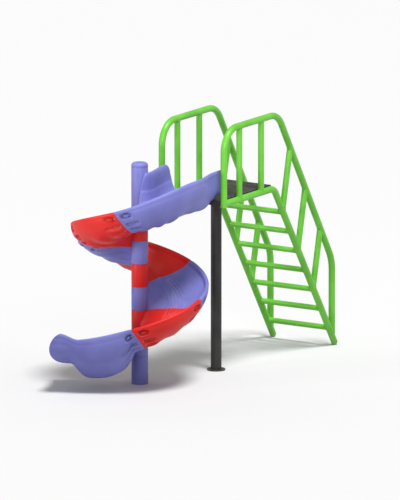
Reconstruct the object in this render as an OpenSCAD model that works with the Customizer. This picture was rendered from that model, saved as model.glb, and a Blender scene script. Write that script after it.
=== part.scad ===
// Spiral playground slide: a moulded helical chute stacked on a steel column, a deck on one post,
// and a stair with two bent-tube side frames. Millimetres, +Z up. The origin is on the ground at
// the column's axis, +Y is the way the stair descends and +X runs along its rungs.

/* [Column] */
// Outer diameter of the moulded collars that stack round the column
collar_d = 136; // [132:1:144]
// Outer diameter of the steel core tube
core_d = 114; // [108:1:116]
// Wall thickness of the steel core tube
core_wall = 4.5; // [3:0.5:6]
// Height of the column's cap above the ground
column_h = 1832; // [1800:1:1900]

/* [Chute] */
// Radius of the chute's outer lip from the column's axis
lip_r = 561; // [550:1:570]
// Angle that one turn moulding covers
turn_angle = 69; // [66:1:72]
// Height that one turn moulding drops
turn_drop = 192; // [185:1:196]
// Height of the lip at the joint between the entry and the first turn
first_lip_z = 1523; // [1515:1:1535]
// Height of the first joint between two collars
first_collar_z = 1383; // [1375:1:1390]
// Depth from the lip to the lowest line of the sliding surface
trough_depth = 163; // [155:1:175]
// Depth from the lip to the lowest line of the underside
body_depth = 245; // [235:1:255]
// Angle from the +X axis, clockwise from above, to the first joint
entry_angle = 80; // [76:1:84]
// Straight length of the exit past the last joint
exit_l = 680; // [640:10:720]
// Height of the top of the entry's inner guard
guard_top_z = 1755; // [1740:1:1770]

/* [Deck] */
// Height of the deck's walking surface
deck_z = 1500; // [1495:1:1505]
// Clear width of the deck between the side frames
deck_w = 540; // [530:1:545]
// Distance from the column's axis to the deck's front edge
deck_front_y = 395; // [390:1:400]
// Length of the deck
deck_l = 785; // [770:1:790]
// Depth of the deck's folded edges
deck_edge = 42; // [38:1:46]
// Diameter of the deck post
post_d = 89; // [76:1:100]
// Diameter of the post's base flange
flange_d = 150; // [145:1:170]

/* [Stair] */
// Diameter of the handrail and stringer tubes
rail_d = 55; // [50:1:55]
// Diameter of the balusters
baluster_d = 50; // [45:1:50]
// Diameter of the rungs
rung_d = 45; // [40:1:48]
// Height of the lowest rung's axis
first_rung_z = 159; // [150:1:165]
// Rise from one rung to the next
rung_pitch = 182; // [180:1:183]
// Height of the handrail's level top bar
rail_top_z = 2082; // [2060:1:2100]
// Wall thickness of the side-frame tubes
tube_wall = 3; // [2:0.5:4]

/* [Hidden] */
$fn = 96;
purple = [0.50, 0.50, 0.80];
red = [0.86, 0.18, 0.16];
green = [0.38, 0.78, 0.20];
black = [0.16, 0.15, 0.15];
zinc = [0.70, 0.71, 0.72];

collar_r = collar_d / 2;
bore_r = core_d / 2 + 1;
cap_h = 32;
cap_z = column_h - cap_h;
collar_gap = 0.4;                       // a trough clears its neighbour's collar by this
turns = 5;                              // equal mouldings between the entry and the exit
rungs = 7;
mid_r = 315;                            // radius of the chute's centre line
deg_l = mid_r * PI / 180;               // length of one degree along the centre line
first_s = entry_angle * deg_l;          // path lengths along the centre line
turn_s = turn_angle * deg_l;
last_s = first_s + turns * turn_s;
last_angle = entry_angle + turns * turn_angle;
entry_lip_z = 1740;
entry_lap = 75;                         // how far the entry lies over the deck
entry_s = -(deck_front_y + entry_lap);
entry_floor_z = deck_z + 12;
steps = 14;                             // sections in one turn moulding
bowl_r = 445;                           // radius of the sliding surface's outer bowl
low_r = 230;                            // radius of the lowest line of the sliding surface
belly_r = 285;                          // radius of the lowest line of the underside
root_r = 62;                            // where the trough is buried in its own collar

function clamp01(t) = max(0, min(1, t));
function ease(t) = let (u = clamp01(t)) u * u * (3 - 2 * u);
// Cubic from height a to height b over a length l, with end slopes ma and mb
function cubic(t, l, a, b, ma, mb) =
    let (u = clamp01(t), u2 = u * u, u3 = u2 * u)
    a * (2 * u3 - 3 * u2 + 1) + b * (3 * u2 - 2 * u3)
    + l * (ma * (u3 - 2 * u2 + u) + mb * (u3 - u2));

fall = turn_drop / turn_s;              // slope of the helix on the centre line
exit_lip_z = first_lip_z - turns * turn_drop;
belly_z = 99;                           // lowest height of the exit

// Heights of the lip, the sliding surface and the underside along the centre line
function lip_z(s) =
    s < first_s ? cubic(s / first_s, first_s, entry_lip_z, first_lip_z, 0, -fall)
    : s < last_s ? first_lip_z - fall * (s - first_s)
    : s < last_s + 430 ? cubic((s - last_s) / 430, 430, exit_lip_z, 466, -0.28, -0.1)
    : cubic((s - last_s - 430) / 150, 150, 466, 512, 0, 0);
function floor_z(s) =
    s < 0 ? entry_floor_z - 12 * ease((s - entry_s) / -entry_s)
    : s < first_s ? cubic(s / first_s, first_s, deck_z, first_lip_z - trough_depth, 0, -fall)
    : s < last_s ? lip_z(s) - trough_depth
    : cubic((s - last_s) / 400, 400, exit_lip_z - trough_depth, 326, -fall, 0);
function under_z(s) =
    s < -deck_front_y + 2 ? deck_z
    : s < 0 ? 1478 - 63 * ease((s + deck_front_y) / 170)
    : s < first_s ? cubic(s / first_s, first_s, 1415, first_lip_z - body_depth, -0.45, -fall)
    : s < last_s ? lip_z(s) - body_depth
    : s < last_s + 110 ? cubic((s - last_s) / 110, 110, exit_lip_z - body_depth, 170, -2.2, -0.75)
    : s < last_s + 300 ? cubic((s - last_s - 110) / 190, 190, 170, belly_z, -0.75, 0)
    : cubic((s - last_s - 350) / 170, 170, belly_z, 217, 0, 0);

// Position of a point at radius r, at path length s and height z
function on_path(s, r, z) =
    s < 0 ? [r - 70 * ease(-s / deck_front_y), -s, z]
    : s < last_s ? let (a = s / deg_l) [r * cos(a), -r * sin(a), z]
    : let (a = last_angle, e = s - last_s)
      [r * cos(a) - e * sin(a), -r * sin(a) - e * cos(a), z];

// The joint faces lean back: lower points of a section lie further up the chute
lean = 95;
function joint_lean(s, r, depth) =
    lean * sin(90 * clamp01(depth / body_depth)) * clamp01((r - collar_r) / 217)
    * ease(s / first_s * 1.2) * (1 - ease((s - last_s) / 160)) * mid_r / max(r, 100);

// The rounded nose of the exit: how far short of the end a point at height z stops
nose_l = 100;
nose_z = 372;
nose_h = 146;
function nose_back(z) =
    nose_l * (1 - sqrt(max(0.02, 1 - pow((z - nose_z) / nose_h, 2))));

// The section: sliding surface (top) and underside (bottom), from the collar out to the lip
floor_n = 13;
rim_top = [[536, 14], [542, 3], [551, 0]];
top_n = floor_n + len(rim_top);
function top_r(i) = i < floor_n ? root_r + (533 - root_r) * i / (floor_n - 1) : rim_top[i - floor_n][0];
function top_depth(i) =
    let (r = top_r(i))
    i >= floor_n ? rim_top[i - floor_n][1]
    : r > low_r ? trough_depth - bowl_r + sqrt(bowl_r * bowl_r - pow(r - low_r, 2))
    : trough_depth - 21 * pow((low_r - r) / (low_r - collar_r), 2);
under_n = 4;
function bottom_angle(i) = 90 * (1 - (i - under_n) / (top_n - 1 - under_n));
// The outside is an ellipse, which squares up towards the deck so that the wall stands on it
function roundness(s) = 1 - 0.62 * ease((-s - 40) / 300);
function bottom_r(i, s) =
    i < under_n ? root_r + (belly_r - root_r) * i / under_n
    : belly_r + (lip_r - belly_r) * pow(cos(bottom_angle(i)), roundness(s));
function bottom_depth(i, s) =
    i < under_n ? body_depth - 34 * pow((belly_r - bottom_r(i, s)) / (belly_r - collar_r), 2)
    : 16 + (body_depth - 16) * pow(sin(bottom_angle(i)), roundness(s));

function section_point(s, r, depth, full, low_z) =
    let (lip = lip_z(s), z0 = lip - (lip - low_z) * depth / full,
         back = joint_lean(s, r, lip - z0),
         e = (s - last_s) / exit_l,
         nose = nose_back(z0) * ease((e - 0.6) / 0.4),
         s1 = s - back - nose, lip1 = lip_z(s1),
         low1 = low_z + (full == body_depth ? under_z(s1) - under_z(s) : floor_z(s1) - floor_z(s)))
    on_path(s1, r, lip1 - (lip1 - low1) * depth / full);
function top_point(s, i) = section_point(s, top_r(i), top_depth(i), trough_depth, floor_z(s));
function bottom_point(s, i) =
    section_point(s, bottom_r(i, s), bottom_depth(i, s), body_depth, under_z(s));

// A closed body swept through the sections at the given path lengths
module trough(lengths) {
    m = len(lengths);
    ring = 2 * top_n;
    points = [for (s = lengths) each concat(
        [for (i = [0 : top_n - 1]) top_point(s, i)],
        [for (i = [top_n - 1 : -1 : 0]) bottom_point(s, i)])];
    walls = [for (k = [0 : m - 2]) for (i = [0 : ring - 1])
        let (a = k * ring + i, b = k * ring + (i + 1) % ring, c = a + ring, d = b + ring)
        each [[a, b, d], [a, d, c]]];
    function cap(base, flip) = [for (i = [0 : top_n - 2])
        let (a = base + i, b = base + i + 1, c = base + ring - 2 - i, d = base + ring - 1 - i)
        each flip ? [[a, b, c], [a, c, d]] : [[a, c, b], [a, d, c]]];
    polyhedron(points, concat(walls, cap(0, false), cap((m - 1) * ring, true)), convexity = 8);
}
function spread(a, b, n) = [for (k = [0 : n]) a + (b - a) * k / n];

// Places children at a bolt of joint j, with Z pointing down the chute along the bolt
bolt_spots = [[545, 57], [508, 132], [452, 184], [372, 219]];
module at_joint_bolts(j) {
    s = first_s + j * turn_s;
    for (b = bolt_spots) {
        p = section_point(s, b[0], b[1], body_depth, under_z(s));
        a = atan2(-p[1], p[0]);
        translate(p) rotate([0, 0, -a]) rotate([90 + atan(fall * mid_r / b[0]), 0, 0]) children();
    }
}
pocket_r = 17;
pocket_l = 60;
land = 22;                              // solid plastic between a pocket and its joint face
bolt_r = 5;
module up_pockets(j) at_joint_bolts(j) {
    translate([0, 0, -land - pocket_l]) cylinder(r = pocket_r, h = pocket_l);
    translate([0, 0, -land - 1]) cylinder(r = bolt_r + 0.5, h = land + 30);
}
module down_pockets(j) at_joint_bolts(j) {
    translate([0, 0, land]) cylinder(r = pocket_r, h = pocket_l);
    translate([0, 0, -30]) cylinder(r = bolt_r + 0.5, h = land + 31);
}
function collar_z(j) = first_collar_z - j * turn_drop;

// Trough and collar made one, bored for the core and cut back round the neighbours' collars
module on_collar(z_low, z_high) {
    difference() {
        union() {
            difference() {
                children();
                translate([0, 0, z_low - 600]) cylinder(r = collar_r + collar_gap, h = 600);
                translate([0, 0, z_high]) cylinder(r = collar_r + collar_gap, h = 600);
            }
            translate([0, 0, z_low]) cylinder(r = collar_r, h = z_high - z_low);
        }
        translate([0, 0, z_low - 1]) cylinder(r = bore_r, h = z_high - z_low + 2);
    }
}

module chute_turn(n) {
    color(n % 2 == 1 ? red : purple) difference() {
        on_collar(collar_z(n), collar_z(n - 1))
            trough(spread(first_s + (n - 1) * turn_s, first_s + n * turn_s, steps));
        down_pockets(n - 1);
        up_pockets(n);
    }
}

// The entry's inner guard: a tall rounded wall from the deck to the front of the collar
guard_corner = 68;
guard_end_y = 413;
guard_s = 72 * deg_l;                   // where the guard runs out past the start of the curve
function guard_top(s) =
    s > 0 ? cubic(s / guard_s, guard_s, guard_top_z, floor_z(s) + 30, 0, -2)
    : -s < guard_end_y - guard_corner ? guard_top_z
    : -s < guard_end_y
        ? guard_top_z - 60 * (1 - sqrt(1 - pow((-s - guard_end_y + guard_corner) / guard_corner, 2)))
    : cubic((-s - guard_end_y) / 57, 57, guard_top_z - 60, entry_floor_z + 45, -4, -1);
function guard_section(s) =
    let (top = guard_top(s), base = floor_z(s), crease = min(top - 14, 1615),
         out = 30 - 16 * ease(s / guard_s))
    [for (p = [[0, base - 9], [0, top - 10], [8, top], [out - 4, top], [out + 6, top - 10],
               [out + 6, crease], [out + 12, crease - 10], [out + 22, base + (crease - base) * 0.35],
               [out + 50, base - 6]])
        on_path(s, root_r + max(p[0], 0), p[1])];
module guard(lengths) {
    m = len(lengths);
    ring = len(guard_section(0));
    points = [for (s = lengths) each guard_section(s)];
    walls = [for (k = [0 : m - 2]) for (i = [0 : ring - 1])
        let (a = k * ring + i, b = k * ring + (i + 1) % ring, c = a + ring, d = b + ring)
        each [[a, b, d], [a, d, c]]];
    function fan(base, flip) = [for (i = [1 : ring - 2])
        flip ? [base, base + i + 1, base + i] : [base, base + i, base + i + 1]];
    polyhedron(points, concat(walls, fan(0, true), fan((m - 1) * ring, false)), convexity = 6);
}

entry_bolt_r = [150, 230, 310];
entry_bolt_y = deck_front_y + 45;
module at_entry_bolts() {
    for (r = entry_bolt_r) translate([r - 70, entry_bolt_y, 0]) children();
}
module chute_entry() {
    color(purple) difference() {
        on_collar(collar_z(0), cap_z) union() {
            trough(concat(spread(entry_s, -deck_front_y - 4, 3), spread(-deck_front_y + 4, 0, 9),
                          spread(30, first_s, 13)));
            guard(concat(spread(entry_s + 1, -guard_end_y, 4), [-407, -397, -383, -365],
                         spread(-345, 0, 3), spread(40, guard_s, 6)));
        }
        up_pockets(0);
        at_entry_bolts() {
            translate([0, 0, deck_z - 20]) cylinder(r = bolt_r + 0.5, h = 60);
            translate([0, 0, deck_z + 10]) cylinder(r = 14, h = 60);
        }
    }
}
module chute_exit() {
    color(purple) difference() {
        on_collar(collar_z(turns + 1), collar_z(turns))
            trough(concat(spread(last_s, last_s + 400, 14), spread(last_s + 425, last_s + exit_l, 12)));
        down_pockets(turns);
    }
}

// Column
module column_core() {
    color(zinc) difference() {
        cylinder(r = core_d / 2, h = cap_z - 26);
        translate([0, 0, -1]) cylinder(r = core_d / 2 - core_wall, h = column_h);
    }
}
module column_sleeve() {
    color(purple) difference() {
        cylinder(r = collar_r, h = collar_z(turns + 1));
        translate([0, 0, -1]) cylinder(r = bore_r, h = collar_z(turns + 1) + 2);
    }
}
module column_cap() {
    rim = 24;
    spigot_l = 24;
    color(purple) translate([0, 0, cap_z]) union() {
        rotate_extrude() union() {
            square([collar_r - rim, cap_h]);
            square([collar_r, cap_h - rim]);
            translate([collar_r - rim, cap_h - rim]) intersection() {
                circle(r = rim);
                square(rim);
            }
        }
        translate([0, 0, -spigot_l]) difference() {
            cylinder(r = bore_r - 0.3, h = spigot_l + 1);
            translate([0, 0, -1]) cylinder(r = bore_r - 6, h = spigot_l);
        }
    }
}

// Fasteners
module hex(across, h) cylinder(r = across / sqrt(3), h = h, $fn = 6);
module joint_bolts() {
    color(zinc) for (j = [0 : turns]) at_joint_bolts(j) union() {
        translate([0, 0, -land - 6]) hex(16, 6);
        translate([0, 0, -land]) cylinder(r = bolt_r, h = 2 * land + 14);
    }
}
module joint_nuts() {
    color(zinc) for (j = [0 : turns]) at_joint_bolts(j) difference() {
        union() {
            translate([0, 0, land]) cylinder(r = 11, h = 2);
            translate([0, 0, land + 2]) hex(16, 8);
        }
        translate([0, 0, land - 1]) cylinder(r = bolt_r + 0.05, h = 20);
    }
}

// Deck
deck_x = 248;                           // middle of the deck
post_y = 770;                           // where the post stands
plate_t = 4;
deck_x0 = deck_x - deck_w / 2;
bearer_y = [440, 700, 840, 1120];
bearer_w = 40;
head_w = 200;
head_t = 8;
flange_t = 10;
flange_pcd = 120;
anchor_hole_r = 6;
side_bolt_y = [520, 790, 1060];
bar_z = deck_z - rail_d / 2;

module at_side_bolts() {
    for (y = side_bolt_y) {
        translate([deck_x0 + plate_t, y, bar_z]) rotate([0, -90, 0]) children();
        translate([deck_x0 + deck_w - plate_t, y, bar_z]) rotate([0, 90, 0]) children();
    }
}
module deck_plate() {
    color(black) difference() {
        translate([deck_x0, deck_front_y, deck_z - deck_edge]) cube([deck_w, deck_l, deck_edge]);
        translate([deck_x0 + plate_t, deck_front_y + plate_t, deck_z - deck_edge - 1])
            cube([deck_w - 2 * plate_t, deck_l - 2 * plate_t, deck_edge + 1 - plate_t]);
        at_side_bolts() translate([0, 0, -5]) cylinder(r = bolt_r + 0.5, h = 20);
        at_entry_bolts() translate([0, 0, deck_z - 20]) cylinder(r = bolt_r + 0.5, h = 60);
    }
}
module deck_bearers() {
    h = deck_edge - plate_t;
    color(black) for (y = bearer_y)
        translate([deck_x0 + plate_t, y - bearer_w / 2, deck_z - deck_edge]) difference() {
            cube([deck_w - 2 * plate_t, bearer_w, h]);
            translate([-1, 3, 3]) cube([deck_w, bearer_w - 6, h - 6]);
            for (r = entry_bolt_r) translate([r - 70 - deck_x0 - plate_t, bearer_w / 2, h - 4])
                cylinder(r = 12, h = 5);
        }
}
module deck_post() {
    color(black) translate([deck_x, post_y, flange_t]) difference() {
        cylinder(r = post_d / 2, h = deck_z - deck_edge - head_t - flange_t);
        translate([0, 0, -1]) cylinder(r = post_d / 2 - 4, h = deck_z);
    }
}
module post_head_plate() {
    color(black) translate([deck_x - head_w / 2, post_y - head_w / 2, deck_z - deck_edge - head_t])
        cube([head_w, head_w, head_t]);
}
module post_base_flange() {
    color(black) translate([deck_x, post_y, 0]) difference() {
        cylinder(r = flange_d / 2, h = flange_t);
        for (a = [45 : 90 : 315]) rotate([0, 0, a]) translate([flange_pcd / 2, 0, -1])
            cylinder(r = anchor_hole_r, h = flange_t + 2);
    }
}
module side_frame_bolts() {
    color(zinc) at_side_bolts() union() {
        translate([0, 0, -6]) hex(16, 6);
        cylinder(r = bolt_r, h = plate_t + 14);
    }
}
module entry_bolts() {
    color(zinc) at_entry_bolts() translate([0, 0, deck_z]) union() {
        translate([0, 0, 10]) cylinder(r1 = 10, r2 = 6, h = 5);
        translate([0, 0, -plate_t - 8]) cylinder(r = bolt_r, h = plate_t + 18);
        translate([0, 0, -plate_t - 7]) hex(16, 7);
    }
}

// Side frames, drawn in a plane across X: each point is [y, z]
frame_y = 415;
side_x = (deck_w + rail_d) / 2;
stringer_top = [1178, bar_z];
foot = [2137, 0];
stair_slope = (stringer_top[1] - foot[1]) / (foot[0] - stringer_top[0]);
stair_angle = atan(stair_slope);
plug_z = rail_d / 2;
function stringer_at(z) = [foot[0] - z / stair_slope, z];
rail_points = [[frame_y, bar_z - rail_d / 2], [frame_y, rail_top_z], [1237, rail_top_z],
               [2081, 724], stringer_at(0) - [56, -86]];
rail_bends = [0, 190, 200, 300, 0];
stringer_points = [[frame_y, bar_z], stringer_top, stringer_at(plug_z)];
stringer_bends = [0, 100, 0];

function unit(v) = v / norm(v);
function turn_between(a, b, c) =
    let (u = unit(b - a), v = unit(c - b)) atan2(u[0] * v[1] - u[1] * v[0], u * v);
function set_back(p, bends, i) =
    i == 0 || i == len(p) - 1 ? 0
    : bends[i] * tan(abs(turn_between(p[i - 1], p[i], p[i + 1])) / 2);
// A rod bent in the plane x = 0, longer at its two ends by extra. The straight runs are a hair
// thinner than the bends and reach a little way into them, so that the two join cleanly
run_in = 1;
run_thin = 0.5;
weld_gap = 0.3;                         // coped tubes stop this far short of each other
module bent_rod(p, bends, d, extra = 0) {
    last = len(p) - 1;
    for (i = [0 : last - 1]) {
        u = unit(p[i + 1] - p[i]);
        before = i == 0 ? extra : run_in - set_back(p, bends, i);
        after = i == last - 1 ? extra : run_in - set_back(p, bends, i + 1);
        a = p[i] - u * before;
        translate([0, a[0], a[1]]) rotate([-atan2(u[0], u[1]), 0, 0])
            cylinder(d = d - run_thin, h = norm(p[i + 1] - p[i]) + before + after);
    }
    for (i = [1 : 1 : last - 1]) {
        t = turn_between(p[i - 1], p[i], p[i + 1]);
        u = unit(p[i] - p[i - 1]);
        side = t > 0 ? 1 : -1;
        a = p[i] - u * set_back(p, bends, i);
        c = a + [-u[1], u[0]] * side * bends[i];
        start = atan2(a[1] - c[1], a[0] - c[0]);
        translate([0, c[0], c[1]]) rotate([90, 0, 90]) rotate([0, 0, min(start, start + t)])
            rotate_extrude(angle = abs(t)) translate([bends[i], 0]) circle(d = d);
    }
}
module bent_tube(p, bends, d) {
    difference() {
        bent_rod(p, bends, d);
        bent_rod(p, bends, d - 2 * tube_wall, 1);
    }
}
module stringer_rod() bent_rod(stringer_points, stringer_bends, rail_d, 20);

module on_side(side) translate([deck_x + side * side_x, 0, 0]) children();
module handrail(side) color(green) on_side(side) difference() {
    bent_tube(rail_points, rail_bends, rail_d);
    stringer_slope_rod(rail_d + 2 * weld_gap);
}
// The stringer's slope as a plain rod, for coping the tubes that are welded to it
module stringer_slope_rod(d) {
    translate([0, foot[0], foot[1]]) rotate([90 - stair_angle, 0, 0])
        translate([0, 0, -60]) cylinder(d = d, h = 900);
}
module stringer(side) color(green) difference() {
    on_side(side) difference() {
        bent_tube(stringer_points, stringer_bends, rail_d);
        translate([0, frame_y, bar_z - rail_d]) cylinder(d = rail_d, h = 2 * rail_d);
    }
    at_side_bolts() cylinder(r = bolt_r + 0.5, h = 24);
}
deck_baluster_y = [650, 983];
module deck_baluster(side, n) color(green) on_side(side)
    translate([0, deck_baluster_y[n - 1], bar_z]) difference() {
        cylinder(d = baluster_d, h = rail_top_z - bar_z);
        translate([0, 0, -1]) cylinder(d = baluster_d - 2 * tube_wall, h = 700);
        for (z = [0, rail_top_z - bar_z]) translate([0, -60, z]) rotate([-90, 0, 0])
            cylinder(d = rail_d, h = 120);
    }
stair_baluster_y = [1313, 1550, 1787];
baluster_lean = 13;
module stair_baluster(side, n) color(green) on_side(side) difference() {
    y = stair_baluster_y[n - 1];
    translate([0, y, (foot[0] - y) * stair_slope]) rotate([-baluster_lean, 0, 0]) difference() {
        cylinder(d = baluster_d, h = 515);
        translate([0, 0, -1]) cylinder(d = baluster_d - 2 * tube_wall, h = 520);
    }
    stringer_rod();
    above_rail();
}
module above_rail() {
    slope = atan((rail_top_z - 724) / (2081 - 1237));
    translate([0, 2081, 724]) rotate([90 - slope, 0, 0]) translate([0, 0, -50])
        cylinder(d = rail_d, h = 1600);
    translate([-rail_d, 2081, 724]) rotate([90 - slope, 0, 0]) translate([0, 0, -50])
        cube([2 * rail_d, 200, 1600]);
}
module rung(n) {
    p = stringer_at(first_rung_z + (n - 1) * rung_pitch);
    color(green) difference() {
        translate([deck_x - side_x, p[0], p[1]]) rotate([0, 90, 0]) difference() {
            cylinder(d = rung_d, h = 2 * side_x);
            translate([0, 0, -1]) cylinder(d = rung_d - 2 * tube_wall, h = 2 * side_x + 2);
        }
        for (side = [-1, 1]) on_side(side) stringer_rod();
    }
}
module foot_plug(side) color(green) on_side(side)
    translate([0, stringer_at(plug_z)[0], plug_z]) rotate([90 - stair_angle, 0, 0]) {
        difference() {
            sphere(d = rail_d);
            cylinder(d = rail_d + 2, h = rail_d);
        }
        translate([0, 0, -1]) cylinder(d = rail_d - 2 * tube_wall - 0.6, h = 36);
    }

chute_entry();
for (n = [1 : turns]) chute_turn(n);
chute_exit();
column_core();
column_sleeve();
column_cap();
joint_bolts();
joint_nuts();
deck_plate();
deck_bearers();
deck_post();
post_head_plate();
post_base_flange();
side_frame_bolts();
entry_bolts();
for (side = [["left", -1], ["right", 1]]) {
    handrail(side[1]);
    stringer(side[1]);
    foot_plug(side[1]);
    for (n = [1 : 2])
        deck_baluster(side[1], n);
    for (n = [1 : 3])
        stair_baluster(side[1], n);
}
for (n = [1 : rungs]) rung(n);
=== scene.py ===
"""Looks of a spiral playground slide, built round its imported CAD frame.

+Z is up. The mouldings' sizes are written in millimetres and turned to metres as each mesh is
made. The side frames, deck, lights and camera are written in metres."""
import math

import bpy
import numpy as np
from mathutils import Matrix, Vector


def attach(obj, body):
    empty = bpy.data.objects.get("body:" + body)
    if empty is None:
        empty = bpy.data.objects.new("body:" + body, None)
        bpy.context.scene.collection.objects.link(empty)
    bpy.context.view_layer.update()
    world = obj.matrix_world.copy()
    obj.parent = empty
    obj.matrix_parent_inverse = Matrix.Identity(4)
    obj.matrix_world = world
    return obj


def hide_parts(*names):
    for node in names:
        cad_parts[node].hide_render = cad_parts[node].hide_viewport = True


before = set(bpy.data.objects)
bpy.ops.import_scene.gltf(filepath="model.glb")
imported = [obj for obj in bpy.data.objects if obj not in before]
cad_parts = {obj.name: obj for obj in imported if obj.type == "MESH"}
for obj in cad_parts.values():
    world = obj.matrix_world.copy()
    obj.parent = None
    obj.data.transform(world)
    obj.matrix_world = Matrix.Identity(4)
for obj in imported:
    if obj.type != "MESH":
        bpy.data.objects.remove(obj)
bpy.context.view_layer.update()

# ---- Turn mouldings -------------------------------------------------------------------------
# Five equal helical troughs of rotationally moulded polyethylene, red and purple in turn. Each has
# a hub collar that stacks on the column, grooves under the rider, a rolled lip, and scooped
# pockets on its outside where the joint bolts are reached.
collar_r, bore_r, lip_r = 68, 58, 561
trough_depth, body_depth = 163, 245
bowl_start, bowl_r = 230, 445           # where the hollow of the trough starts, and its curve
belly_start, belly_top = 285, 16        # where the belly's quarter ellipse starts and ends
belly_w, belly_h = lip_r - belly_start, body_depth - belly_top
mid_r = 315                             # radius at which distances along the chute are measured
per_degree = mid_r * math.pi / 180
turns, turn_angle, turn_drop, entry_angle = 5, 69, 192, 80
turn_s, first_s = turn_angle * per_degree, entry_angle * per_degree
last_s, fall = first_s + turns * turn_s, turn_drop / turn_s
first_lip_z, first_collar_z = 1523, 1383
groove_r, groove_w, groove_deep = np.arange(236, 372, 27), 4.8, 5.6
ride_r, ride_w = 310, 105               # the band that riders polish
lean_l = 95                             # how far a joint face leans back under the belly
joint_spots = ((545, 57), (508, 132), (452, 184), (372, 219))
pocket_w, pocket_deep = (31, 33, 31, 29), 24
finger_l, tongue_l = (60, 104, 92, 70), (60, 70, 66, 60)
seam_deep, trumpet_w = 2.6, 72
section_n = 104                         # points on each side of a section


def ease(t):
    u = np.clip(t, 0, 1)
    return u * u * (3 - 2 * u)


def smooth_line(points, n):
    """The corner points of a line, resampled to n points spread evenly along it."""
    points = np.asarray(points, float)
    at = np.r_[0, np.cumsum(np.hypot(*np.diff(points, axis=0).T))]
    where = np.linspace(0, at[-1], n)
    return np.c_[np.interp(where, at, points[:, 0]), np.interp(where, at, points[:, 1])]


def top_section():
    """Radius and depth of the sliding side, from the hub out over the rolled lip."""
    r = np.r_[np.linspace(66, 224, 32), np.linspace(228, 372, 56), np.linspace(380, 520, 19)]
    bowl = trough_depth - bowl_r + np.sqrt(bowl_r**2 - np.maximum(r - bowl_start, 0) ** 2)
    hub = trough_depth - 21 * ((bowl_start - r) / (bowl_start - collar_r)) ** 2
    depth = np.where(r > bowl_start, bowl, hub)
    depth += sum(groove_deep * np.exp(-(((r - g) / groove_w) ** 2)) for g in groove_r)
    rim = [(523, 51), (527, 47), (529, 42), (530, 33), (531, 21), (533, 12), (537, 5), (543, 1)]
    rim += [(549, 0), (555, 2), (559, 7), (lip_r, 14)]
    rows = np.r_[np.c_[r, depth], rim]
    keep = np.linspace(0, len(rows) - 1, section_n)
    return np.c_[[np.interp(keep, np.arange(len(rows)), rows[:, i]) for i in (0, 1)]].T


def bottom_section():
    """Radius and depth of the outside, from the hub out to the lip's lower edge."""
    r = np.linspace(66, belly_start, 40)[:-1]
    hub = np.c_[r, body_depth - 34 * ((belly_start - r) / (belly_start - collar_r)) ** 2]
    t = np.radians(np.linspace(90, 7, 90))
    belly = np.c_[belly_start + belly_w * np.cos(t), belly_top + belly_h * np.sin(t)]
    roll = [(558.2, 37), (557.8, 33), (559, 29), (560.7, 25), (lip_r, 19)]
    return smooth_line(np.r_[hub, belly, roll], section_n)


def joint_lean(r, depth):
    """How far a joint face leans back up the chute at a point of the section."""
    out = np.clip((r - collar_r) / (belly_start - collar_r), 0, 1)
    low = np.sin(np.pi / 2 * np.clip(depth / body_depth, 0, 1))
    return lean_l * low * out * mid_r / np.maximum(r, 100)


def pocket_mask(along, section, fingers):
    """1 inside the scooped bolt pockets that lie this far along from a joint, 0 outside. The one
    by the lip is a ring round a boss; the others are broad tongues, or fingers that taper away."""
    arc = np.r_[0, np.cumsum(np.hypot(*np.diff(section, axis=0).T))]
    mask = np.zeros((len(along), len(section)))
    for k, (r, depth) in enumerate(joint_spots):
        at = arc[np.argmin(np.hypot(section[:, 0] - r, section[:, 1] - depth))]
        t = (along[:, None] - 11) / (finger_l if fingers else tongue_l)[k]
        taper = 0 if k == 0 else 0.85 if fingers else 0.3
        width = pocket_w[k] * np.sqrt(np.clip(1 - taper * t, 0.05, 1))
        off, end = np.abs(arc[None] - at), np.abs(2 * t - 1)
        q = (off / width) ** 2.4 + np.where(t < 0.5, end**3.2, end**2)
        deep = ease((1 - q) / 0.7) * np.clip(1.15 - taper * t, 0, 1)
        if k == 0:
            deep *= 1 - 0.7 * ease((17 - np.hypot(off, along[:, None] - 40)) / 6)
        mask = np.maximum(mask, deep)
    return mask


def inward(section):
    """Unit normals of a section line that point into the plastic, for a line that runs outward."""
    along = np.gradient(section, axis=0)
    along /= np.linalg.norm(along, axis=1)[:, None]
    return np.c_[-np.abs(along[:, 1]) * (section[:, 0] > belly_start), -np.abs(along[:, 0])]


def steps_along(length, fine, coarse, ends=(True, True)):
    """Distances from 0 to length, close together near the ends that carry pockets."""
    near = np.r_[0, 1.2, 3, 6, 10, 13, np.arange(16, 118, fine)]
    start = near if ends[0] else np.array([0.0])
    stop = length - (near[::-1] if ends[1] else np.array([0.0]))
    n = max(2, int((stop[0] - start[-1]) / coarse))
    return np.r_[start, np.linspace(start[-1], stop[0], n + 1)[1:-1], stop]


def loft(points, cap_ends=True):
    """Faces between the rows of points, each row a closed ring with its halves face to face."""
    m, ring = points.shape[:2]
    at = np.arange(m * ring).reshape(m, ring)
    a, b = at, np.roll(at, -1, axis=1)
    walls = np.stack([a[:-1], b[:-1], b[1:], a[1:]], axis=-1).reshape(-1, 4)
    if not cap_ends:
        return walls.tolist()
    half = ring // 2
    i = np.arange(half - 1)
    cap = np.c_[i, ring - 1 - i, ring - 2 - i, i + 1]
    return np.r_[walls, cap, cap[:, ::-1] + (m - 1) * ring].tolist()


def revolve(profile, n=72):
    """Points and faces of a closed profile of radius and height turned about the column's axis."""
    angle = np.linspace(0, 2 * np.pi, n, endpoint=False)
    r, z = np.asarray(profile, float).T
    x, y = np.outer(np.cos(angle), r), np.outer(np.sin(angle), r)
    points = np.stack([x, y, np.tile(z, (n, 1))], axis=-1)
    a = np.arange(n * len(r)).reshape(n, len(r))
    b, c = np.roll(a, -1, axis=1), np.roll(a, -1, axis=0)
    d = np.roll(b, -1, axis=0)
    return points.reshape(-1, 3), np.stack([a, c, d, b], axis=-1).reshape(-1, 4).tolist()


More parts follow.
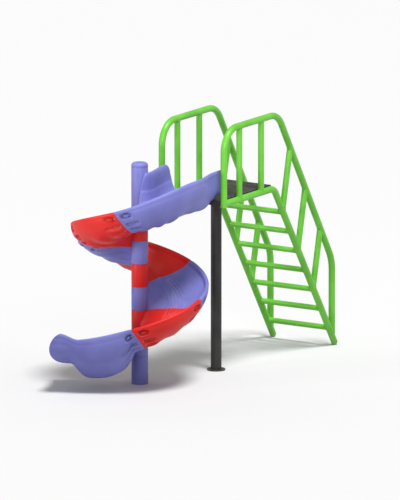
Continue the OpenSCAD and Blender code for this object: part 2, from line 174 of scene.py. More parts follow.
def collar(low, high):
    """A hub collar's tube with softly rounded ends."""
    edge = [(0, 4), (1.2, 1.4), (3.4, 0)]
    start = [(collar_r - a, low + b) for a, b in edge[::-1]]
    stop = [(collar_r - a, high - b) for a, b in edge]
    return revolve([(bore_r, low), *start, *stop, (bore_r, high)])


def add_mesh(name, parts, values=None):
    """An object from parts of millimetre points and faces, with values stored on its points."""
    points = np.concatenate([p.reshape(-1, 3) for p, _ in parts]) / 1000
    faces, base = [], 0
    for p, f in parts:
        faces += [[i + base for i in face] for face in f]
        base += p.reshape(-1, 3).shape[0]
    mesh = bpy.data.meshes.new(name)
    mesh.from_pydata(points.tolist(), [], faces)
    for key, value in (values or {}).items():
        layer = mesh.attributes.new(key, "FLOAT", "POINT")
        full = np.zeros(len(points), np.float32)
        full[: value.size] = value.ravel()
        layer.data.foreach_set("value", full)
    mesh.validate()
    mesh.polygons.foreach_set("use_smooth", [True] * len(mesh.polygons))
    mesh.set_sharp_from_angle(angle=math.radians(50))
    piece = bpy.data.objects.new(name, mesh)
    bpy.context.collection.objects.link(piece)
    return piece


class Value:
    """A shader socket; arithmetic on it adds Math nodes to its finish."""

    def __init__(self, finish, socket):
        self.finish, self.socket = finish, socket

    def __add__(self, other):
        return self.finish.sum_of("ADD", self, other)

    def __sub__(self, other):
        return self.finish.sum_of("SUBTRACT", self, other)

    def __rsub__(self, other):
        return self.finish.sum_of("SUBTRACT", other, self)

    def __mul__(self, other):
        return self.finish.sum_of("MULTIPLY", self, other)

    __radd__, __rmul__ = __add__, __mul__


class Finish:
    """One procedural material. node() adds any node from its type, its settings and its inputs."""

    def __init__(self, name, **constants):
        self.material = bpy.data.materials.new(name)
        self.material.use_nodes = True
        self.tree = self.material.node_tree
        self.shader = self.tree.nodes["Principled BSDF"]
        self.set(**constants)
        self.here = self.node("ShaderNodeTexCoord", output="Object")

    def node(self, kind, settings=None, inputs=None, output=0):
        made = self.tree.nodes.new(kind)
        for key, value in (settings or {}).items():
            setattr(made, key, value)
        for key, value in (inputs or {}).items():
            self.feed(made.inputs[key], value)
        return Value(self, made.outputs[output])

    def feed(self, socket, value):
        if isinstance(value, Value):
            self.tree.links.new(value.socket, socket)
        else:
            socket.default_value = value

    def sum_of(self, how, a, b):
        return self.node("ShaderNodeMath", {"operation": how}, {0: a, 1: b})

    def noise(self, scale, detail=3.0, rough=0.5, at=None):
        inputs = {"Vector": at or self.here, "Scale": scale, "Detail": detail, "Roughness": rough}
        return self.node("ShaderNodeTexNoise", None, inputs)

    def between(self, value, low, high, to_low=0.0, to_high=1.0):
        return self.node("ShaderNodeMapRange", {"interpolation_type": "SMOOTHSTEP"},
                         {0: value, 1: low, 2: high, 3: to_low, 4: to_high})

    def mix(self, factor, a, b):
        return self.node("ShaderNodeMix", {"data_type": "RGBA"}, {0: factor, 6: a, 7: b}, output=2)

    def stored(self, name):
        return self.node("ShaderNodeAttribute", {"attribute_name": name}, output="Fac")

    def bump(self, height, strength, distance, under=None):
        inputs = {"Height": height, "Strength": strength, "Distance": distance}
        if under:
            inputs["Normal"] = under
        return self.node("ShaderNodeBump", None, inputs)

    def set(self, **sockets):
        for key, value in sockets.items():
            self.feed(self.shader.inputs[key.replace("_", " ")], value)


def moulded_plastic(name, deep, clear, faded):
    """Rotationally moulded polyethylene: a waxy sheen over a fine orange peel, polished and a
    little scuffed where riders pass, with dust left in the pockets and grooves."""
    f = Finish(name, Specular_IOR_Level=0.24)
    cloud = f.noise(3.2, 4.0)
    body = f.mix(f.between(cloud, 0.32, 0.68), deep, clear)
    slid = f.stored("slid")
    worn = slid * f.between(f.noise(9.0, 5.0, 0.6), 0.42, 0.7)
    body = f.mix(worn * 0.28, body, faded)
    dust = f.stored("dust") * f.between(f.noise(26.0, 4.0, 0.65), 0.36, 0.72)
    body = f.mix(dust * 0.3, body, (0.30, 0.25, 0.20, 1))
    scratch_at = f.node("ShaderNodeMapping", None, {"Vector": f.here, "Scale": (1.0, 1.0, 14.0)})
    scratch = f.between(f.noise(42.0, 2.0, 0.5, scratch_at), 0.66, 0.74)
    body = f.mix(scratch * slid * 0.16, body, faded)
    rough = 0.40 + f.noise(14.0, 3.0) * 0.12 - slid * 0.05 + dust * 0.2
    peel = f.bump(f.noise(260.0, 2.0), 0.16, 0.0012)
    waves = f.bump(f.noise(11.0, 1.0), 0.18, 0.004, peel)
    f.set(Base_Color=body, Roughness=rough, Normal=waves)
    return f.material


purple_plastic = moulded_plastic("purple polyethylene", deep=(0.130, 0.134, 0.39, 1),
                                 clear=(0.167, 0.174, 0.47, 1), faded=(0.33, 0.35, 0.66, 1))
red_plastic = moulded_plastic("red polyethylene", deep=(0.54, 0.012, 0.010, 1),
                              clear=(0.62, 0.018, 0.013, 1), faded=(0.78, 0.14, 0.10, 1))


def node_group(name, inputs):
    """A Geometry Nodes tree with named inputs, and a function that adds and links its nodes."""
    tree = bpy.data.node_groups.new(name, "GeometryNodeTree")
    tree.interface.new_socket("Geometry", in_out="INPUT", socket_type="NodeSocketGeometry")
    for label, kind in inputs:
        tree.interface.new_socket(label, in_out="INPUT", socket_type=kind)
    tree.interface.new_socket("Geometry", in_out="OUTPUT", socket_type="NodeSocketGeometry")
    entry, leave = tree.nodes.new("NodeGroupInput"), tree.nodes.new("NodeGroupOutput")

    def add(kind, settings=None, inputs=None, output=0):
        made = tree.nodes.new(kind)
        for key, value in (settings or {}).items():
            setattr(made, key, value)
        for key, value in (inputs or {}).items():
            if isinstance(value, bpy.types.NodeSocket):
                tree.links.new(value, made.inputs[key])
            else:
                made.inputs[key].default_value = value
        return made.outputs[output]

    return tree, add, entry.outputs, leave.inputs


def grown(name, source, tree, **inputs):
    """The mesh that a Geometry Nodes tree makes from source, as a plain object of its own."""
    modifier = source.modifiers.new("grow", "NODES")
    modifier.node_group = tree
    for item in tree.interface.items_tree:
        key = item.name.replace(" ", "_").lower()
        if item.in_out == "INPUT" and key in inputs:
            modifier[item.identifier] = inputs[key]
    source.update_tag()
    graph = bpy.context.evaluated_depsgraph_get()
    mesh = bpy.data.meshes.new_from_object(source.evaluated_get(graph), depsgraph=graph)
    source.modifiers.clear()
    mesh.name = name
    piece = bpy.data.objects.new(name, mesh)
    bpy.context.collection.objects.link(piece)
    return piece


def wind_tree():
    """Winds a straight trough, radius along X and length along Y, round the column as a helix."""
    tree, add, given, out = node_group("wind round the column", [
        ("Start angle", "NodeSocketFloat"), ("Angle per metre", "NodeSocketFloat"),
        ("Start height", "NodeSocketFloat"), ("Fall per metre", "NodeSocketFloat"),
        ("Finish", "NodeSocketMaterial")])
    place = tree.nodes.new("ShaderNodeSeparateXYZ")
    tree.links.new(add("GeometryNodeInputPosition"), place.inputs[0])
    r, along, up = place.outputs

    def sum_of(how, a, b=0.0, c=0.0):
        return add("ShaderNodeMath", {"operation": how}, {0: a, 1: b, 2: c})

    angle = sum_of("MULTIPLY_ADD", along, given["Angle per metre"], given["Start angle"])
    drop = sum_of("MULTIPLY", along, given["Fall per metre"])
    z = sum_of("ADD", sum_of("SUBTRACT", given["Start height"], drop), up)
    x = sum_of("MULTIPLY", r, sum_of("COSINE", angle))
    y = sum_of("MULTIPLY", sum_of("MULTIPLY", r, sum_of("SINE", angle)), -1.0)
    spot = add("ShaderNodeCombineXYZ", None, {0: x, 1: y, 2: z})
    wound = add("GeometryNodeSetPosition", None, {"Geometry": given["Geometry"], "Position": spot})
    real = add("GeometryNodeRealizeInstances", None, {0: wound})
    tree.links.new(add("GeometryNodeSetMaterial", None, {0: real, 2: given["Finish"]}), out[0])
    return tree


top, bottom = top_section(), bottom_section()
bottom_in = inward(bottom)


def skin(s, length, ends, bumps):
    """Radius and depth of both sides of a trough at distances s, with pockets, bumps and seams."""
    lip_in = np.zeros((len(s), section_n))
    pockets = np.zeros_like(lip_in)
    for on, along, fingers in zip(ends, (s, length - s), (True, False)):
        if on:
            pockets = np.maximum(pockets, pocket_mask(along, bottom, fingers))
            lip_in = np.maximum(lip_in, (seam_deep * (1 - ease(along / 5)))[:, None])
    low = ease((bottom[:, 1] - 120) / 90)[None]
    swell = bumps * (0.5 - 0.5 * np.cos(2 * np.pi * 3 * s / turn_s))[:, None] * low
    push = pocket_deep * pockets + lip_in - swell * (1 - pockets)
    under = bottom[None] + push[..., None] * bottom_in[None]
    over = np.repeat(top[None], len(s), axis=0)
    over[..., 1] += lip_in * 0.7
    return over, under, pockets


def trumpet_at(r):
    """1 at the hub collar, falling to 0 where the trough's floor has left the collar's flare."""
    return np.clip(1 - (r - collar_r) / trumpet_w, 0, 1)


def wear(pockets):
    """Values stored on a trough's points: where riders slide, and where dust settles."""
    shape = (len(pockets), 1)
    ridden = np.exp(-(((top[:, 0] - ride_r) / ride_w) ** 2))
    in_groove = sum(np.exp(-(((top[:, 0] - g) / 4.5) ** 2)) for g in groove_r)
    slid = np.concatenate([np.tile(ridden, shape), np.zeros_like(pockets)], axis=1)
    dust = np.concatenate([np.tile(in_groove * 0.5, shape), pockets[:, ::-1]], axis=1)
    return {"slid": slid, "dust": dust}


s = steps_along(turn_s, 3.4, 9)
over, under, pockets = skin(s, turn_s, (True, True), bumps=11)
room = np.minimum(2 + fall * s, 6 + 0.8 * (turn_s - s))[:, None]
flare = 1 - np.sqrt(1 - np.minimum(trumpet_at(over[..., 0]), 0.999) ** 2)
over[..., 1] -= np.minimum(58, room) * flare
straight = []
for side in (over, under[:, ::-1]):
    r, depth = side[..., 0], side[..., 1]
    straight.append(np.stack([r, s[:, None] - joint_lean(r, depth), -depth], axis=-1))
straight = np.concatenate(straight, axis=1)
flat_turn = add_mesh("flat turn", [(straight, loft(straight))], wear(pockets))
wind = wind_tree()
for n in range(turns):
    red = n % 2 == 0
    plastic = red_plastic if red else purple_plastic
    name = "chute_turn_%d" % (n + 1)
    trough = grown(name + "_trough", flat_turn, wind,
                   start_angle=math.radians(entry_angle + n * turn_angle),
                   angle_per_metre=1000 / mid_r, start_height=(first_lip_z - n * turn_drop) / 1000,
                   fall_per_metre=fall, finish=plastic)
    collar_z = first_collar_z - n * turn_drop
    hub = add_mesh(name + "_hub", [collar(collar_z - turn_drop, collar_z)])
    hub.data.materials.append(plastic)
    for piece in (trough, hub):
        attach(piece, "root")
        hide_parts(name)
bpy.data.objects.remove(flat_turn)

# ---- Entry and exit mouldings ---------------------------------------------------------------
# The purple entry starts as a straight trough on the deck, bends into the helix, and carries a
# tall inner guard and the long hub collar. The purple exit leaves the helix along a straight
# line, drops into a deep belly and ends in a rounded, swollen nose.
deck_front_y, deck_z, entry_s = 395, 1500, -470
entry_lip_z, entry_floor_z, entry_shift = 1740, 1512, 70
guard_top_z, guard_crease_z, guard_corner, guard_end_y = 1755, 1615, 68, 413
guard_s = 72 * per_degree               # where the guard has run out into the trough
exit_l, exit_lip_z = 680, first_lip_z - turns * turn_drop
exit_low_z, exit_notch_z = 99, 217
nose_l, nose_short, nose_z, nose_h = 132, 12, 372, 146
cap_z = 1800


def cubic(s, start, length, a, b, slope_a, slope_b):
    """A cubic from height a to height b over a length, with the slopes at its two ends."""
    u = np.clip((s - start) / length, 0, 1)
    rise = a * (2 * u**3 - 3 * u**2 + 1) + b * (3 * u**2 - 2 * u**3)
    return rise + length * (slope_a * (u**3 - 2 * u**2 + u) + slope_b * (u**3 - u**2))


def lip_at(s):
    """Height of the lip."""
    return np.select(
        [s < first_s, s < last_s, s < last_s + 430],
        [cubic(s, 0, first_s, entry_lip_z, first_lip_z, 0, -fall),
         first_lip_z - fall * (s - first_s),
         cubic(s, last_s, 430, exit_lip_z, 466, -0.28, -0.1)],
        cubic(s, last_s + 430, 150, 466, 512, 0, 0))


def floor_at(s):
    """Height of the sliding floor."""
    return np.select(
        [s < 0, s < first_s, s < last_s],
        [entry_floor_z + (deck_z - entry_floor_z) * ease((s - entry_s) / -entry_s),
         cubic(s, 0, first_s, deck_z, first_lip_z - trough_depth, 0, -fall),
         lip_at(s) - trough_depth],
        cubic(s, last_s, 400, exit_lip_z - trough_depth, 326, -fall, 0))


def under_at(s):
    """Height of the underside, which hangs deep under the exit and rises again before its nose."""
    e = s - last_s
    return np.select(
        [s < 2 - deck_front_y, s < 0, s < first_s, e < 0, e < 90, e < 330, e < 430],
        [deck_z, 1478 - 63 * ease((s + deck_front_y) / 170),
         cubic(s, 0, first_s, 1415, first_lip_z - body_depth, -0.45, -fall),
         lip_at(s) - body_depth,
         cubic(e, 0, 90, exit_lip_z - body_depth, 172, -2.8, -0.75),
         cubic(e, 90, 230, 172, exit_low_z, -0.75, 0),
         cubic(e, 330, 100, exit_low_z, 132, 0, 0.95)],
        cubic(e, 430, 90, 132, exit_notch_z, 0.95, 0))


def on_path(s, r, z):
    """The place of a point at radius r and height z, at distance s along the chute's middle."""
    a = np.clip(s, 0, last_s) / mid_r
    x, y, e = r * np.cos(a), -r * np.sin(a), np.maximum(s - last_s, 0)
    x = x - e * np.sin(a) - entry_shift * ease(-s / deck_front_y)
    return np.stack([x, y - e * np.cos(a) - np.minimum(s, 0), z], axis=-1)


def squared(row, s):
    """The outside's radii and depths, squared up towards the deck so that its wall stands there."""
    p = (1 - 0.62 * ease((-s - 40) / 300))[:, None]
    r, depth = row[..., 0], row[..., 1]
    cos = np.clip((r - belly_start) / belly_w, 0, 1)
    sin = np.clip((depth - belly_top) / belly_h, 0, 1)
    wide = belly_start + belly_w * cos**p + np.minimum(r - belly_start - belly_w * cos, 0)
    tall = belly_top + belly_h * sin**p + depth - belly_top - belly_h * sin
    on = (r > belly_start) & (depth > 39)
    return np.stack([np.where(on, wide, r), np.where(on, tall, depth)], axis=-1)


def along_path(s, row, full, low_at):
    """Rows of radii and depths set on the path, leaning back at the joints, round at the nose."""
    s = s[:, None] * np.ones(section_n)
    r, depth = row[..., 0], row[..., 1]
    lip, low = lip_at(s), low_at(s)
    z = lip - (lip - low) * depth / full
    fade = ease(s / first_s * 1.2) * (1 - ease((s - last_s) / 160))
    back = joint_lean(r, lip - z) * fade
    ball = np.sqrt(np.maximum(0.02, 1 - ((z - nose_z) / nose_h) ** 2))
    nose = nose_short + nose_l * (1 - ball)
    s = s - back - nose * ease(((s - last_s) / exit_l - 0.6) / 0.4)
    lip, low = lip_at(s), low_at(s)
    return on_path(s, r, lip - (lip - low) * depth / full)


def end_piece(name, s, ends, bumps, guard=()):
    """The entry or exit moulding: its trough, whatever stands on it, and the purple finish."""
    over, under, pockets = skin(s - s[0], s[-1] - s[0], ends, bumps)
    swollen = ease((s - last_s - 470) / 90)[:, None] * ease((bottom[:, 0] - 330) / 150)[None]
    under[..., 0] += 16 * swollen * np.sin(np.pi * np.clip((bottom[:, 1] - 75) / 170, 0, 1))[None]
    flare = 46 * (ease(s / 260) * ease((first_s - s) / 90))[:, None]
    over[..., 1] -= flare * trumpet_at(over[..., 0]) ** 2
    inside = along_path(s, over, trough_depth, floor_at)
    outside = along_path(s, squared(under, s), body_depth, under_at)
    sheet = np.concatenate([inside, outside[:, ::-1]], axis=1)
    piece = add_mesh(name, [(sheet, loft(sheet)), *guard], wear(pockets))
    piece.data.materials.append(purple_plastic)
    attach(piece, "root")
    return piece


def rounded(section, passes=2):
    """A closed section with its corners cut twice, as a moulding's corners are round."""
    for _ in range(passes):
        nxt = np.roll(section, -1, axis=-2)
        section = np.stack([0.8 * section + 0.2 * nxt, 0.2 * section + 0.8 * nxt], axis=-2)
        section = section.reshape(*section.shape[:-3], -1, 2)
    return section


def guard_rows(s):
    """The guard's closed sections: a hollow wall with a crease that flares into the trough."""
    y, base = -s, floor_at(s)
    past = np.clip((y - guard_end_y + guard_corner) / guard_corner, 0, 1)
    top_z = np.select(
        [s > 0, y < guard_end_y],
        [cubic(s, 0, guard_s, guard_top_z, base + 30, 0, -2),
         guard_top_z - 60 * (1 - np.sqrt(1 - past**2))],
        cubic(y, guard_end_y, 57, guard_top_z - 60, entry_floor_z + 45, -4, -1))
    crease = np.minimum(top_z - 14, guard_crease_z)
    out = 30 - 16 * ease(s / guard_s)
    rows = [(0, base - 9), (0, top_z), (out + 6, top_z), (out + 6, crease), (out + 13, crease - 12),
            (out + 24, base + (crease - base) * 0.35), (out + 52, base - 6)]
    section = np.stack([np.stack([66 + 0 * s + a, b + 0 * s], axis=-1) for a, b in rows], axis=1)
    section = rounded(section)
    return on_path(s[:, None] * np.ones(section.shape[1]), section[..., 0], section[..., 1])


def fan_ends(rows):
    """Faces of a lofted solid whose two ends are closed by fans from their own middles."""
    m, ring = rows.shape[:2]
    faces = loft(rows, cap_ends=False)
    middles = rows[[0, -1]].mean(axis=1)
    start, stop = m * ring, m * ring + 1
    for i in range(ring):
        j = (i + 1) % ring
        faces += [[start, j, i], [stop, (m - 1) * ring + i, (m - 1) * ring + j]]
    return np.concatenate([rows.reshape(-1, 3), middles]), faces


corner_y = guard_end_y - guard_corner
round_corner = corner_y + guard_corner * np.sin(np.radians(np.linspace(88, 0, 10)))[:-1]
guard_along = np.r_[np.linspace(469, guard_end_y, 8)[:-1], round_corner,
                    np.linspace(corner_y, 0, 12)[:-1]]
guard_along = np.r_[-guard_along, np.linspace(0, guard_s, 26)]
guard = fan_ends(guard_rows(guard_along)[:, ::-1])
near_joint = steps_along(118, 3.4, 9, (True, False))
entry_along = np.r_[np.linspace(entry_s, -deck_front_y - 3, 9),
                    np.linspace(-deck_front_y + 4, first_s - 124, 84), first_s - near_joint[::-1]]
entry = end_piece("chute_entry_moulding", entry_along, (False, True), bumps=9, guard=[guard])
exit_along = np.r_[last_s + near_joint, np.linspace(last_s + 125, last_s + exit_l, 70)]
leaving = end_piece("chute_exit_moulding", exit_along, (True, False), bumps=0)
entry_hub = add_mesh("chute_entry_hub", [collar(first_collar_z, cap_z)])
exit_collar_z = first_collar_z - turns * turn_drop
exit_hub = add_mesh("chute_exit_hub", [collar(exit_collar_z - turn_drop, exit_collar_z)])
for hub in (entry_hub, exit_hub):
    hub.data.materials.append(purple_plastic)
    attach(hub, "root")
for piece in (entry, entry_hub):
    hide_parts("chute_entry")
for piece in (leaving, exit_hub):
    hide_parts("chute_exit")

# ---- Column ---------------------------------------------------------------------------------
# A galvanised core tube stands in the stacked hubs. A purple sleeve covers it under the exit and
# a round-edged purple cap closes it on top.
for name in ("column_sleeve", "column_cap"):
    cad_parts[name].data.materials[0] = purple_plastic


def zinc_finish(name, base, rough):
    """Zinc: crystalline spangle under a dull grey bloom, darker in patches where it weathered."""
    f = Finish(name, Metallic=1.0)
    spangle = f.node("ShaderNodeTexVoronoi", None, {"Vector": f.here, "Scale": 60.0},
                     output="Distance")
    bloom = f.between(f.noise(18.0, 5.0, 0.6), 0.35, 0.7)
    dark = [c * 0.62 for c in base[:3]] + [1]
    f.set(Base_Color=f.mix(bloom * 0.5 + spangle * 0.3, base, dark),
          Roughness=rough + bloom * 0.16, Normal=f.bump(f.noise(140.0, 3.0), 0.2, 0.0008))
    return f.material


galvanised = zinc_finish("galvanised steel", (0.42, 0.43, 0.44, 1), 0.42)
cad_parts["column_core"].data.materials[0] = galvanised
bolt_zinc = zinc_finish("zinc plated bolts", (0.30, 0.30, 0.29, 1), 0.38)
for name in ("joint_bolts", "joint_nuts", "side_frame_bolts", "entry_bolts"):
    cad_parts[name].data.materials[0] = bolt_zinc

# ---- Side frames and rungs ------------------------------------------------------------------
# Bent steel tube, coped, welded and powder coated leaf green: two handrails, two stringers, ten
# balusters and seven rungs. The coat is glossy, with a fine orange peel and scuffs where feet go.
tube_kinds = ("handrail", "stringer", "deck_baluster", "stair_baluster", "rung", "foot_plug")
tube_names = [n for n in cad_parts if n.startswith(tube_kinds)]


def powder_coat(name, deep, clear, chalk, rough, splash=0.16):
    """Powder coat on steel: chalky patches, rubbed marks, and dried splashes near the ground."""
    f = Finish(name, Specular_IOR_Level=0.4)
    body = f.mix(f.between(f.noise(5.0, 4.0), 0.35, 0.65), deep, clear)
    rubbed = f.between(f.noise(34.0, 5.0, 0.65), 0.60, 0.72)
    body = f.mix(rubbed * 0.22, body, chalk)
    place = f.node("ShaderNodeSeparateXYZ", None, {0: f.here}, output="Z")
    low = f.between(place, 0.0, splash, 1.0, 0.0) * f.between(f.noise(48.0, 5.0, 0.7), 0.40, 0.66)
    body = f.mix(low * 0.55, body, (0.26, 0.20, 0.14, 1))
    f.set(Base_Color=body, Roughness=rough + rubbed * 0.10 + low * 0.25,
          Normal=f.bump(f.noise(420.0, 2.0), 0.22, 0.0006))
    return f.material


green_coat = powder_coat("green powder coat", deep=(0.095, 0.375, 0.020, 1),
                         clear=(0.120, 0.445, 0.030, 1), chalk=(0.26, 0.55, 0.15, 1), rough=0.34)
for name in tube_names:
    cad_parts[name].data.materials[0] = green_coat

# Weld beads run round every coped joint: small overlapping ripples laid along the line where one
# tube meets the other.
stair_x = 0.248
side_x = [stair_x - 0.2975, stair_x + 0.2975]
rail_r, baluster_r, rung_r = 0.0275, 0.025, 0.0225
bar_z, rail_z = 1.4725, 2.082
foot_y, slope = 2.137, bar_z / 0.959
rungs, first_rung_z, rung_step = 7, 0.159, 0.182
deck_baluster_y, stair_baluster_y = (0.650, 0.983), (1.313, 1.550, 1.787)
baluster_lean = math.radians(13)
rail_top_y, knee_y, knee_z = 1.237, 2.081, 0.724
down = np.array([0, 1, -slope]) / math.hypot(1, slope)
rail_down = np.array([0, knee_y - rail_top_y, knee_z - rail_z])
rail_down /= np.linalg.norm(rail_down)


def cope_line(centre, axis, radius, host, host_radius, n=56):
    """The closed line where a tube along axis meets its host tube, both through the centre."""
    across = np.cross(axis, host)
    across /= np.linalg.norm(across)
    beside = np.cross(across, axis)
    t = np.linspace(0, 2 * np.pi, n, endpoint=False)
    ring = radius * (np.outer(np.cos(t), beside) + np.outer(np.sin(t), across))
    flat_ring = ring - np.outer(ring @ host, host)
    flat_axis = axis - (axis @ host) * host
    a, b = flat_axis @ flat_axis, flat_ring @ flat_axis
    c = (flat_ring**2).sum(axis=1) - host_radius**2
    reach = (-b + np.sqrt(np.maximum(b * b - a * c, 0))) / a
    return centre + ring + np.outer(reach, axis)


copes = []
up, along_x, along_y = np.array([0, 0, 1.0]), np.array([1.0, 0, 0]), np.array([0, 1.0, 0])
lean = np.array([0, math.sin(baluster_lean), math.cos(baluster_lean)])
lean_cross = lean[1] * rail_down[2] - lean[2] * rail_down[1]
for side, x in zip((-1, 1), side_x):
    for k in range(rungs):
        z = first_rung_z + rung_step * k
        rung_end = np.array([x, foot_y - z / slope, z])
        copes.append(cope_line(rung_end, -side * along_x, rung_r, down, rail_r))
    for y in deck_baluster_y:
        copes.append(cope_line(np.array([x, y, bar_z]), up, baluster_r, along_y, rail_r))
        copes.append(cope_line(np.array([x, y, rail_z]), -up, baluster_r, along_y, rail_r))
    for y in stair_baluster_y:
        foot = np.array([x, y, (foot_y - y) * slope])
        copes.append(cope_line(foot, lean, baluster_r, down, rail_r))
        gap = np.array([x, knee_y, knee_z]) - foot
        reach = (gap[1] * rail_down[2] - gap[2] * rail_down[1]) / lean_cross
        copes.append(cope_line(foot + lean * reach, -lean, baluster_r, rail_down, rail_r))
cope_mesh = bpy.data.meshes.new("cope lines")
n = len(copes[0])
edges = [(k * n + i, k * n + (i + 1) % n) for k in range(len(copes)) for i in range(n)]
cope_mesh.from_pydata(np.concatenate(copes).tolist(), edges, [])
cope_lines = bpy.data.objects.new("cope lines", cope_mesh)
bpy.context.collection.objects.link(cope_lines)


def bead_tree():
    """Lays weld ripples along lines, each a squashed ball turned to the line it lies on."""
    tree, add, given, out = node_group("weld bead", [
        ("Bead radius", "NodeSocketFloat"), ("Ripple pitch", "NodeSocketFloat"),
        ("Finish", "NodeSocketMaterial")])
    line = add("GeometryNodeMeshToCurve", None, {0: given["Geometry"]})
    spaced = add("GeometryNodeResampleCurve", {"mode": "LENGTH"},
                 {"Curve": line, "Length": given["Ripple pitch"]})
    tangent = add("GeometryNodeInputTangent")
    turned = add("FunctionNodeAlignEulerToVector", {"axis": "Z"}, {"Vector": tangent})
    ball = add("GeometryNodeMeshUVSphere", None,
               {"Segments": 8, "Rings": 5, "Radius": given["Bead radius"]})
    flat = add("GeometryNodeTransform", None, {"Geometry": ball, "Scale": (1.0, 1.0, 0.8)})
    laid = add("GeometryNodeInstanceOnPoints", None,
               {"Points": spaced, "Instance": flat, "Rotation": turned})
    real = add("GeometryNodeRealizeInstances", None, {0: laid})
    soft = add("GeometryNodeSetShadeSmooth", None, {0: real})
    tree.links.new(add("GeometryNodeSetMaterial", None, {0: soft, 2: given["Finish"]}), out[0])
    return tree


welds = grown("side_frame_welds", cope_lines, bead_tree(), bead_radius=0.0040,
              ripple_pitch=0.0036, finish=green_coat)

# The beads are dressed flush with the outer side of the right frame.
spots = np.empty(len(welds.data.vertices) * 3, np.float32)
welds.data.vertices.foreach_get("co", spots)
spots[::3] = np.minimum(spots[::3], side_x[1] + rail_r)
welds.data.vertices.foreach_set("co", spots)
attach(welds, "root")
bpy.data.objects.remove(cope_lines)

# ---- Deck and post --------------------------------------------------------------------------
# A folded steel deck plate on box bearers, a round post with a head plate and a base flange, all
# in black textured coat. The walking surface is pressed into small raised treads.
deck_y, tread_x, tread_y = 0.8275, 0.50, 0.675
black_coat = powder_coat("black textured coat", deep=(0.014, 0.0135, 0.013, 1),
                         clear=(0.024, 0.023, 0.022, 1), chalk=(0.075, 0.072, 0.068, 1),
                         rough=0.50, splash=0.012)
for name in ("deck_plate", "deck_bearers", "deck_post", "post_head_plate", "post_base_flange"):
    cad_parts[name].data.materials[0] = black_coat


def worn_deck():
    """Black tread plate: coat worn to a dull brown on the tops, dust between them."""
    f = Finish("worn tread", Specular_IOR_Level=0.4)
    trodden = f.between(f.noise(16.0, 5.0, 0.65), 0.38, 0.66)
    coat, dull = (0.024, 0.023, 0.022, 1), (0.095, 0.078, 0.060, 1)
    f.set(Base_Color=f.mix(trodden * 0.7, coat, dull), Roughness=0.62 - trodden * 0.14,
          Normal=f.bump(f.noise(300.0, 3.0), 0.3, 0.0008))
    return f.material


def tread_tree():
    """Raised lozenges on a grid, every other one turned a quarter, as on pressed tread plate."""
    tree, add, given, out = node_group("tread plate", [
        ("Size X", "NodeSocketFloat"), ("Size Y", "NodeSocketFloat"), ("Across", "NodeSocketInt"),
        ("Along", "NodeSocketInt"), ("Height", "NodeSocketFloat"),
        ("Finish", "NodeSocketMaterial")])
    grid = add("GeometryNodeMeshGrid", None, {
        "Size X": given["Size X"], "Size Y": given["Size Y"],
        "Vertices X": given["Across"], "Vertices Y": given["Along"]})
    odd = add("ShaderNodeMath", {"operation": "MODULO"}, {0: add("GeometryNodeInputIndex"), 1: 2.0})
    turn = add("ShaderNodeMath", {"operation": "MULTIPLY_ADD"},
               {0: odd, 1: math.pi / 2, 2: math.pi / 4})
    rotation = add("ShaderNodeCombineXYZ", None, {2: turn})
    stud = add("GeometryNodeMeshCone", None, {
        "Vertices": 10, "Radius Top": 0.0045, "Radius Bottom": 0.0070, "Depth": given["Height"]})
    lozenge = add("GeometryNodeTransform", None, {"Geometry": stud, "Scale": (1.9, 0.62, 1.0)})
    laid = add("GeometryNodeInstanceOnPoints", None,
               {"Points": grid, "Instance": lozenge, "Rotation": rotation})
    real = add("GeometryNodeRealizeInstances", None, {0: laid})
    moved = add("GeometryNodeSetPosition", None,
                {"Geometry": real, "Offset": (stair_x, deck_y, deck_z / 1000)})
    tree.links.new(add("GeometryNodeSetMaterial", None, {0: moved, 2: given["Finish"]}), out[0])
    return tree


seed_mesh = bpy.data.meshes.new("tread seed")
tread_seed = bpy.data.objects.new("tread seed", seed_mesh)
bpy.context.collection.objects.link(tread_seed)
treads = grown("deck_treads", tread_seed, tread_tree(), size_x=tread_x, size_y=tread_y,
               across=23, along=31, height=0.0022, finish=worn_deck())
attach(treads, "root")
bpy.data.objects.remove(tread_seed)

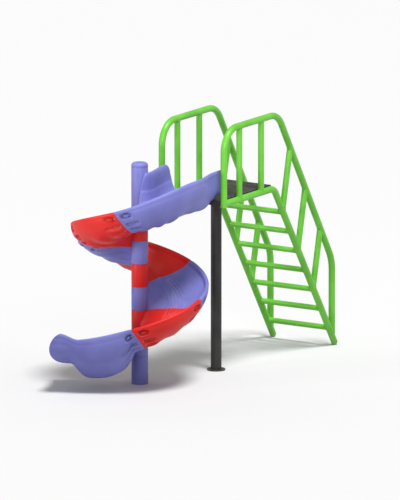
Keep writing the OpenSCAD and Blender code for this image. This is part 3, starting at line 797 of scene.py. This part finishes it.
# ---- Yard, light and camera -----------------------------------------------------------------
# A plain pale floor and backdrop, soft lights over and beside the slide.
half = 90
corners = [(-half, -half, 0), (half, -half, 0), (half, half, 0), (-half, half, 0)]
yard = bpy.data.meshes.new("yard")
yard.from_pydata(corners, [], [(0, 1, 2, 3)])
yard = bpy.data.objects.new("yard", yard)
bpy.context.collection.objects.link(yard)
ground = Finish("pale floor", Base_Color=(0.62, 0.62, 0.62, 1), Roughness=0.9)
yard.data.materials.append(ground.material)

sky = bpy.data.worlds.new("studio")
sky.use_nodes = True
glow = sky.node_tree.nodes["Background"].inputs
glow["Color"].default_value, glow["Strength"].default_value = (1.0, 1.0, 1.0, 1), 0.52
bpy.context.scene.world = sky
bpy.context.scene.view_settings.view_transform = "Standard"


def soft_spot(name, at, aim, size, power, cone):
    """A large soft-edged spot at a point, turned towards what it lights."""
    lamp = bpy.data.lights.new(name, "SPOT")
    lamp.shadow_soft_size, lamp.energy = size, power
    lamp.spot_size, lamp.spot_blend = math.radians(cone), 1.0
    lamp = bpy.data.objects.new(name, lamp)
    lamp.location = at
    lamp.rotation_euler = (Vector(aim) - Vector(at)).to_track_quat("-Z", "Y").to_euler()
    bpy.context.collection.objects.link(lamp)


# The overhead light whitens the floor; the two spots reach the upper chute, hubs and rails.
sun = bpy.data.lights.new("overhead", "SUN")
sun.energy, sun.angle = 3.5, math.radians(16)
sun = bpy.data.objects.new("overhead", sun)
sun.rotation_euler = Vector((0.30, -0.16, 0.94)).to_track_quat("Z", "Y").to_euler()
bpy.context.collection.objects.link(sun)
soft_spot("left fill", (-2.2, -3.6, 2.1), (0.05, 0.0, 1.35), 0.8, 560, 30)
soft_spot("right key", (2.7, -2.7, 3.3), (0.35, 0.5, 1.75), 0.8, 420, 36)

# A long lens from far off, so that the view has hardly any perspective.
azimuth, elevation, distance = math.radians(32.3), math.radians(11.7), 120.0
middle, view_height = (0.4894, 1.0829), 4.065
right = Vector((math.cos(azimuth), math.sin(azimuth), 0))
ahead = Vector((-math.sin(azimuth), math.cos(azimuth), 0)) * math.cos(elevation)
ahead.z = -math.sin(elevation)
above = right.cross(ahead)
camera = bpy.data.cameras.new("camera")
camera.lens, camera.clip_end = 36 * distance / view_height, 400
camera = bpy.data.objects.new("camera", camera)
camera.location = right * middle[0] + above * middle[1] - ahead * distance
camera.rotation_euler = (-ahead).to_track_quat("Z", "Y").to_euler()
bpy.context.collection.objects.link(camera)
bpy.context.scene.camera = camera
